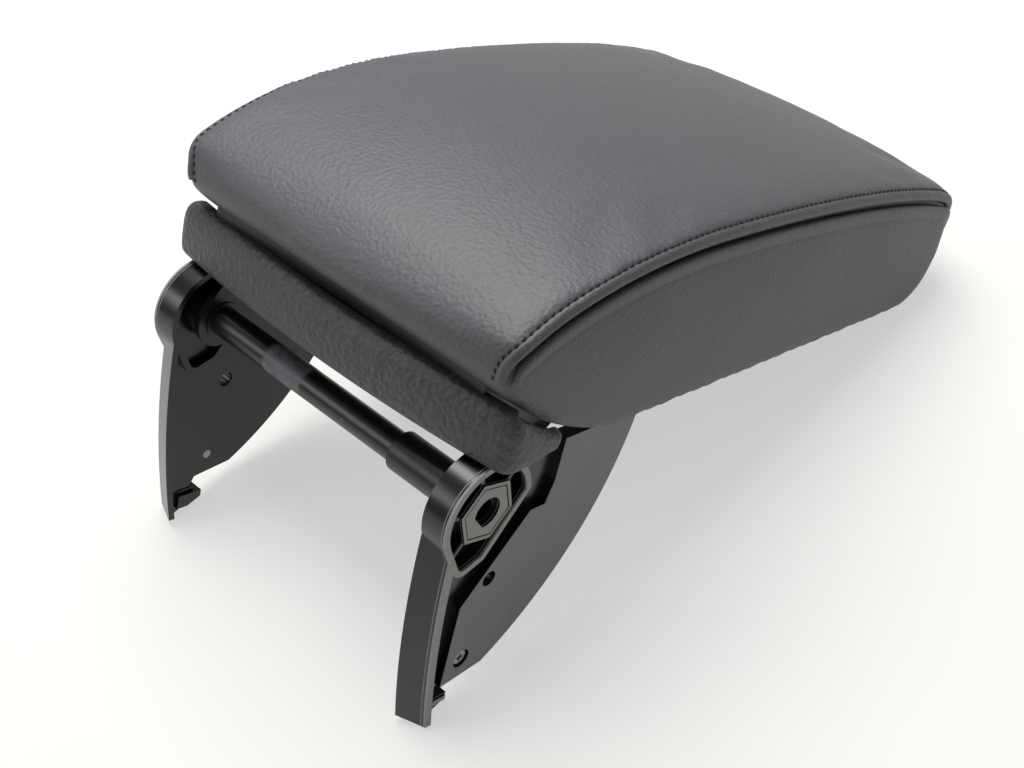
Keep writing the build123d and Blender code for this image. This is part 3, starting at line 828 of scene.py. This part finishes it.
def grained_plastic():
    """Moulded polypropylene with a leather grain etched in the tool: raised pebbles, duller than the cover."""
    tone = bpy.context.scene.armrest_finishes.trim
    material, tree, shader, place = started("grained_polypropylene")
    # The pebbles are drawn a little coarser than the real ones, so that they show.
    cells = add(tree, "ShaderNodeTexVoronoi", {"Vector": place, "Scale": per_mm(2.5)}, feature="SMOOTH_F1")
    fine = add(tree, "ShaderNodeTexNoise", {"Vector": place, "Scale": per_mm(1.6), "Detail": 3.0})
    both = add(
        tree,
        "ShaderNodeMixRGB",
        {"Fac": 0.45, "Color1": cells.outputs["Distance"], "Color2": fine.outputs["Fac"]},
    )
    relief = add(tree, "ShaderNodeBump", {"Height": both.outputs[0], "Strength": 1.0, "Distance": 1.1 * MM})
    cloud = add(tree, "ShaderNodeTexNoise", {"Vector": place, "Scale": per_mm(30), "Detail": 2.0})
    shade = add(
        tree,
        "ShaderNodeMixRGB",
        {"Fac": cloud.outputs["Fac"], "Color1": rgba(tone, 0.85), "Color2": rgba(tone, 1.12)},
    )
    tree.links.new(shade.outputs[0], shader.inputs["Base Color"])
    tree.links.new(relief.outputs[0], shader.inputs["Normal"])
    shader.inputs["Roughness"].default_value = 0.45
    shader.inputs["IOR"].default_value = 1.49
    return material


def side_reach(tree, place, low_mm, high_mm):
    """1 where a point's distance from the middle plane is between two values, else 0."""
    x = add(tree, "ShaderNodeSeparateXYZ", {"Vector": place}).outputs["X"]
    out = add(tree, "ShaderNodeMath", {0: x}, operation="ABSOLUTE").outputs[0]
    over = add(tree, "ShaderNodeMath", {0: out, 1: low_mm * MM}, operation="GREATER_THAN").outputs[0]
    under = add(tree, "ShaderNodeMath", {0: out, 1: high_mm * MM}, operation="LESS_THAN").outputs[0]
    return add(tree, "ShaderNodeMath", {0: over, 1: under}, operation="MULTIPLY").outputs[0]


# Distances from the middle plane, in mm, between which the blade's outer face and the faces with the painted edge
# highlight lie
BLADE_FACE = (82.3, 82.8)
EDGE_HIGHLIGHT_REACH = (83.5, 90)


def leg_plastic():
    """Glass-filled nylon: gloss black where the tool was polished, eroded matte grey on the blade, and pale grey
    where the ring, the insert and the flange meet the outer face, a painted highlight for the light that catches
    their edges."""
    tones = bpy.context.scene.armrest_finishes
    material, tree, shader, place = started("glass_filled_nylon")
    blade = side_reach(tree, place, *BLADE_FACE)
    # Painted highlight: mask of the outer faces of the ring, the insert and the flange, painted pale grey
    edge_highlight = side_reach(tree, place, *EDGE_HIGHLIGHT_REACH)
    spark = add(tree, "ShaderNodeTexNoise", {"Vector": place, "Scale": per_mm(0.9), "Detail": 3.0})
    cloud = add(tree, "ShaderNodeTexNoise", {"Vector": place, "Scale": per_mm(22), "Detail": 4.0, "Roughness": 0.6})
    matte = add(
        tree,
        "ShaderNodeMixRGB",
        {"Fac": cloud.outputs["Fac"], "Color1": rgba(tones.blade, 0.80), "Color2": rgba(tones.blade, 1.2)},
    )
    black = add(
        tree,
        "ShaderNodeMixRGB",
        {"Fac": cloud.outputs["Fac"], "Color1": rgba(tones.leg, 0.7), "Color2": rgba(tones.leg, 1.7)},
    )
    # Colour of the painted edge highlight, speckled by fine noise
    highlight_and_wear = add(
        tree,
        "ShaderNodeMixRGB",
        {"Fac": spark.outputs["Fac"], "Color1": rgba(tones.edge_highlight, 0.75), "Color2": rgba(tones.edge_highlight, 1.15)},
    )
    face = add(tree, "ShaderNodeMixRGB", {"Fac": blade, "Color1": black.outputs[0], "Color2": matte.outputs[0]})
    whole = add(tree, "ShaderNodeMixRGB", {"Fac": edge_highlight, "Color1": face.outputs[0], "Color2": highlight_and_wear.outputs[0]})
    tree.links.new(whole.outputs[0], shader.inputs["Base Color"])
    dull = add(tree, "ShaderNodeMath", {0: blade, 1: edge_highlight}, operation="MAXIMUM").outputs[0]
    gloss = add(tree, "ShaderNodeMapRange", {"Value": dull, "To Min": 0.24, "To Max": 0.55})
    tree.links.new(gloss.outputs[0], shader.inputs["Roughness"])
    relief = add(tree, "ShaderNodeBump", {"Height": spark.outputs["Fac"], "Strength": 0.12, "Distance": 0.2 * MM})
    tree.links.new(relief.outputs[0], shader.inputs["Normal"])
    shader.inputs["IOR"].default_value = 1.53
    return material


# The stretch of the tube across the part that is painted paler, as rubbed paint and as a painted highlight for the
# tube's lit strip, and the blur of its ends
RUBBED_AND_HIGHLIGHT_FROM = -36.5 * MM
RUBBED_AND_HIGHLIGHT_TO = -12.5 * MM
RUBBED_AND_HIGHLIGHT_BLUR = 2 * MM


def tube_paint():
    """Black paint on drawn steel tube: a soft sheen, painted paler on one stretch as rubbed paint and as a painted
    highlight for its lit strip, with small pale scuffs.
    """
    tones = bpy.context.scene.armrest_finishes
    material, tree, shader, place = started("painted_steel_tube")
    x = add(tree, "ShaderNodeSeparateXYZ", {"Vector": place}).outputs["X"]
    # Band along the tube painted paler: rubbed paint and a painted highlight
    start = {"Value": x, "From Min": RUBBED_AND_HIGHLIGHT_FROM, "From Max": RUBBED_AND_HIGHLIGHT_FROM + RUBBED_AND_HIGHLIGHT_BLUR}
    stop = {"Value": x, "From Min": RUBBED_AND_HIGHLIGHT_TO, "From Max": RUBBED_AND_HIGHLIGHT_TO - RUBBED_AND_HIGHLIGHT_BLUR}
    ends = [add(tree, "ShaderNodeMapRange", end).outputs[0] for end in (start, stop)]
    band = add(tree, "ShaderNodeMath", {0: ends[0], 1: ends[1]}, operation="MULTIPLY").outputs[0]
    band_noise = add(tree, "ShaderNodeTexNoise", {"Vector": place, "Scale": per_mm(7), "Detail": 5.0, "Roughness": 0.65})
    patchy = ramp(tree, band_noise.outputs["Fac"], ((0.30, 0.35), (0.62, 1.0)))
    # Patchy paler band: part rubbed paint, part painted highlight
    highlight_and_wear = add(tree, "ShaderNodeMath", {0: band, 1: patchy}, operation="MULTIPLY").outputs[0]
    chips = add(tree, "ShaderNodeTexNoise", {"Vector": place, "Scale": per_mm(4), "Detail": 6.0, "Roughness": 0.7})
    specks = ramp(tree, chips.outputs["Fac"], ((0.66, 0.0), (0.72, 1.0)))
    mark = add(tree, "ShaderNodeMath", {0: highlight_and_wear, 1: specks}, operation="MAXIMUM").outputs[0]
    tone = add(
        tree, "ShaderNodeMixRGB", {"Fac": mark, "Color1": rgba(tones.tube), "Color2": rgba(tones.highlight_and_wear)}
    )
    tree.links.new(tone.outputs[0], shader.inputs["Base Color"])
    gloss = add(tree, "ShaderNodeMapRange", {"Value": mark, "To Min": 0.32, "To Max": 0.55})
    tree.links.new(gloss.outputs[0], shader.inputs["Roughness"])
    shader.inputs["IOR"].default_value = 1.5
    return material


def zinc_steel():
    """Zinc-plated steel: bright metal, slightly brushed and uneven."""
    tone = bpy.context.scene.armrest_finishes.steel
    material, tree, shader, place = started("zinc_plated_steel")
    cloud = add(tree, "ShaderNodeTexNoise", {"Vector": place, "Scale": per_mm(2), "Detail": 3.0})
    shade = add(
        tree,
        "ShaderNodeMixRGB",
        {"Fac": cloud.outputs["Fac"], "Color1": rgba(tone, 0.8), "Color2": rgba(tone, 1.1)},
    )
    tree.links.new(shade.outputs[0], shader.inputs["Base Color"])
    gloss = add(tree, "ShaderNodeMapRange", {"Value": cloud.outputs["Fac"], "To Min": 0.3, "To Max": 0.5})
    tree.links.new(gloss.outputs[0], shader.inputs["Roughness"])
    shader.inputs["Metallic"].default_value = 1.0
    return material


def plain_black():
    """Smooth moulded nylon of the hidden shell, pan, bushes and sleeve: black with a soft, uneven sheen."""
    tone = bpy.context.scene.armrest_finishes.leg
    material, tree, shader, place = started("moulded_black_nylon")
    cloud = add(tree, "ShaderNodeTexNoise", {"Vector": place, "Scale": per_mm(12), "Detail": 4.0})
    shade = add(
        tree,
        "ShaderNodeMixRGB",
        {"Fac": cloud.outputs["Fac"], "Color1": rgba(tone, 0.8), "Color2": rgba(tone, 1.8)},
    )
    tree.links.new(shade.outputs[0], shader.inputs["Base Color"])
    gloss = add(tree, "ShaderNodeMapRange", {"Value": cloud.outputs["Fac"], "To Min": 0.3, "To Max": 0.48})
    tree.links.new(gloss.outputs[0], shader.inputs["Roughness"])
    shader.inputs["IOR"].default_value = 1.53
    return material


NODE_FINISHES = (
    (leg_plastic, ("leg_left", "leg_right", "hex_insert_left", "hex_insert_right")),
    (tube_paint, ("cross_tube", "hinge_ear_left", "hinge_ear_right")),
    (zinc_steel, ("leg_screws", "ear_screws", "pan_screws", "trim_screws")),
    (plain_black, ("friction_sleeve", "ear_bush_left", "ear_bush_right", "lid_shell", "lid_pan")),
)


class ARMREST_OT_finishes(bpy.types.Operator):
    """Finishes of the rigid parts"""

    bl_idname = "armrest.finishes"
    bl_label = "Finishes"

    def execute(self, context):
        for make, nodes in NODE_FINISHES:
            material = make()
            for node in nodes:
                mesh = frame["nodes"][node].data
                mesh.materials.clear()
                mesh.materials.append(material)
        return {"FINISHED"}


# Stage


# Soft boxes: name, place and target in metres, size in metres and power in watts
LAMPS = (
    ("key_box", (-0.35, 0.25, 1.2), (0, 0, 0.05), 0.9, 21),
    ("rear_box", (-0.7, -0.9, 0.7), (0, -0.1, 0.05), 0.5, 2.5),
)
ROOM_LIGHT = 0.26
FLOOR_HALF = 3
FLOOR_DROP = 0.3 * MM
PAPER_GLOW = 0.55


def lamp(name, place, target, size, power):
    """Square soft box at a place, aimed at a target."""
    light = bpy.data.lights.new(name, "AREA")
    light.size = size
    light.energy = power
    obj = bpy.data.objects.new(name, light)
    back = unit(np.array(place, float) - np.array(target, float))
    right = unit(np.cross((0, 1, 0), back))
    turn = np.stack([right, np.cross(back, right), back], axis=1)
    obj.matrix_world = Matrix.Translation(place) @ Matrix(turn.tolist()).to_4x4()
    bpy.context.scene.collection.objects.link(obj)


def floor_paper():
    """Matt white paper sweep: it keeps the soft shadow, and the camera and reflections see part of it as plain
    white."""
    tone = bpy.context.scene.armrest_finishes.floor
    material, tree, shader, place = started("white_paper")
    cloud = add(tree, "ShaderNodeTexNoise", {"Vector": place, "Scale": per_mm(90), "Detail": 2.0})
    shade = add(
        tree,
        "ShaderNodeMixRGB",
        {"Fac": cloud.outputs["Fac"], "Color1": rgba(tone, 0.98), "Color2": rgba(tone, 1.02)},
    )
    tree.links.new(shade.outputs[0], shader.inputs["Base Color"])
    shader.inputs["Roughness"].default_value = 0.9
    ray = add(tree, "ShaderNodeLightPath")
    seen = add(
        tree,
        "ShaderNodeMath",
        {0: ray.outputs["Is Camera Ray"], 1: ray.outputs["Is Glossy Ray"]},
        operation="MAXIMUM",
    )
    share = add(tree, "ShaderNodeMath", {0: seen.outputs[0], 1: PAPER_GLOW}, operation="MULTIPLY")
    white = add(tree, "ShaderNodeEmission", {"Color": (1, 0.99, 0.975, 1), "Strength": 1.0})
    mixed = add(
        tree,
        "ShaderNodeMixShader",
        {0: share.outputs[0], 1: shader.outputs[0], 2: white.outputs[0]},
    )
    tree.links.new(mixed.outputs[0], tree.nodes["Material Output"].inputs["Surface"])
    return material


class ARMREST_OT_stage(bpy.types.Operator):
    """Pale floor, soft light and the photograph's camera"""

    bl_idname = "armrest.stage"
    bl_label = "Stage"

    def execute(self, context):
        scene = context.scene
        scene.view_settings.view_transform = "Standard"
        reach = np.linspace(-FLOOR_HALF, FLOOR_HALF, 13)
        across, along = np.meshgrid(reach, reach)
        flat = np.stack([across, along, np.full_like(across, -FLOOR_DROP)], axis=-1)
        floor = mesh_object("floor", flat, grid_faces(13, 13)[:, ::-1])
        floor.data.materials.append(floor_paper())
        world = bpy.data.worlds.new("soft_room")
        world.use_nodes = True
        world.node_tree.nodes["Background"].inputs["Color"].default_value = (1, 1, 1, 1)
        world.node_tree.nodes["Background"].inputs["Strength"].default_value = ROOM_LIGHT
        scene.world = world
        for setting in LAMPS:
            lamp(*setting)
        data = bpy.data.cameras.new("photo_camera")
        data.sensor_width = 36
        data.lens = CAMERA_FOCAL_PX / PICTURE_WIDTH * data.sensor_width
        data.clip_start = 0.01
        camera = bpy.data.objects.new("photo_camera", data)
        right, down = unit(np.array(CAMERA_RIGHT)), unit(np.array(CAMERA_DOWN))
        turn = np.stack([right, -down, np.cross(right, -down)], axis=1)
        camera.matrix_world = Matrix.Translation(CAMERA_PLACE) @ Matrix(turn.tolist()).to_4x4()
        scene.collection.objects.link(camera)
        scene.camera = camera
        return {"FINISHED"}


OPERATORS = (
    ARMREST_OT_stage,
    ARMREST_OT_cushion,
    ARMREST_OT_stitches,
    ARMREST_OT_seams,
    ARMREST_OT_trim,
    ARMREST_OT_finishes,
)


class ARMREST_PT_panel(bpy.types.Panel):
    """Sidebar panel with the armrest's pieces"""

    bl_idname = "ARMREST_PT_panel"
    bl_label = "Armrest"
    bl_space_type = "VIEW_3D"
    bl_region_type = "UI"
    bl_category = "Armrest"

    def draw(self, context):
        for operator in OPERATORS:
            self.layout.operator(operator.bl_idname)
        for name, group in GROUPS:
            box = self.layout.box()
            for field in group.__annotations__:
                box.prop(getattr(context.scene, name), field)


GROUPS = (
    ("armrest_cushion", CushionSizes),
    ("armrest_trim", TrimSizes),
    ("armrest_seams", SeamSizes),
    ("armrest_finishes", Finishes),
)


def register():
    """Registers the classes and hangs their settings on the scene."""
    for name, group in GROUPS:
        bpy.utils.register_class(group)
        setattr(bpy.types.Scene, name, PointerProperty(type=group))
    for operator in OPERATORS:
        bpy.utils.register_class(operator)
    bpy.utils.register_class(ARMREST_PT_panel)


def unregister():
    """Takes the classes and settings away again."""
    bpy.utils.unregister_class(ARMREST_PT_panel)
    for operator in reversed(OPERATORS):
        bpy.utils.unregister_class(operator)
    for name, group in reversed(GROUPS):
        delattr(bpy.types.Scene, name)
        bpy.utils.unregister_class(group)


def main():
    """Builds the whole armrest."""
    register()
    bpy.ops.armrest.stage()
    bpy.ops.armrest.cushion()
    bpy.ops.armrest.stitches()
    bpy.ops.armrest.seams()
    bpy.ops.armrest.trim()
    bpy.ops.armrest.finishes()


if __name__ == "__main__":
    main()
